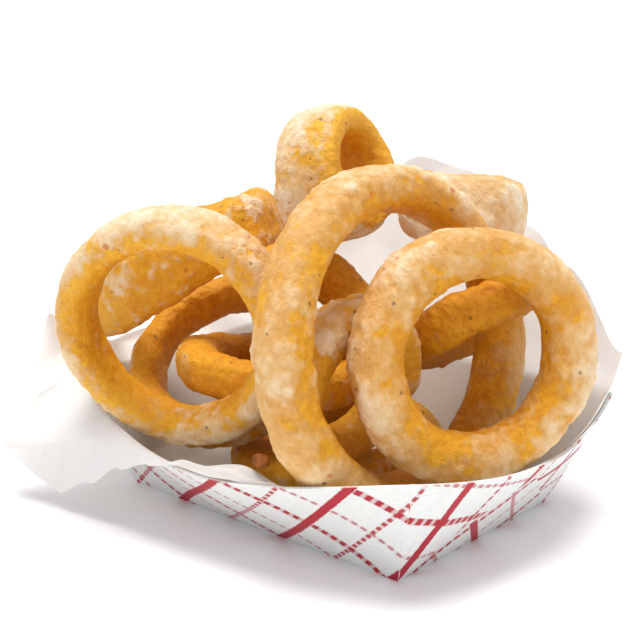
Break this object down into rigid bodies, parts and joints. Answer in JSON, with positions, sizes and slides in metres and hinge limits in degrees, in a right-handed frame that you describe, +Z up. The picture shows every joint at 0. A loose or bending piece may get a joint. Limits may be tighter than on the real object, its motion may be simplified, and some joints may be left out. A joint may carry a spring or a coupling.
{
  "type": "onion rings side",
  "caption": "Side order of battered onion rings heaped in an open flared paper food tray with a loose paper liner hanging over one end.",
  "frame": {"origin": "middle of the underside of the tray's base, on the table", "axes": "+Z up; +X along the tray's long side, away from the end that the liner hangs over; -Y towards the long side with the fallen flap"},
  "size_m": [0.2075, 0.1601, 0.131],
  "materials": {
    "tray_board": "white bleached board, coated, printed with a red plaid",
    "liner_paper": "thin white greaseproof paper, matt",
    "batter": "deep-fried batter, fine crumbly relief, slightly oily",
    "crumb_batter": "dark fried scrap of batter"
  },
  "bodies": {
    "root": {"tray": "tray_board", "liner": "liner_paper", "ring_front_tall": "batter", "ring_front_right": "batter", "ring_front_left": "batter", "ring_top": "batter", "ring_back_left": "batter", "ring_low_left": "batter", "ring_flat_middle": "batter", "ring_inner": "batter", "ring_back_right": "batter", "ring_under_top": "batter", "ring_floor": "batter", "ring_far_side": "batter", "crumb": "crumb_batter"}
  },
  "joints": []
}
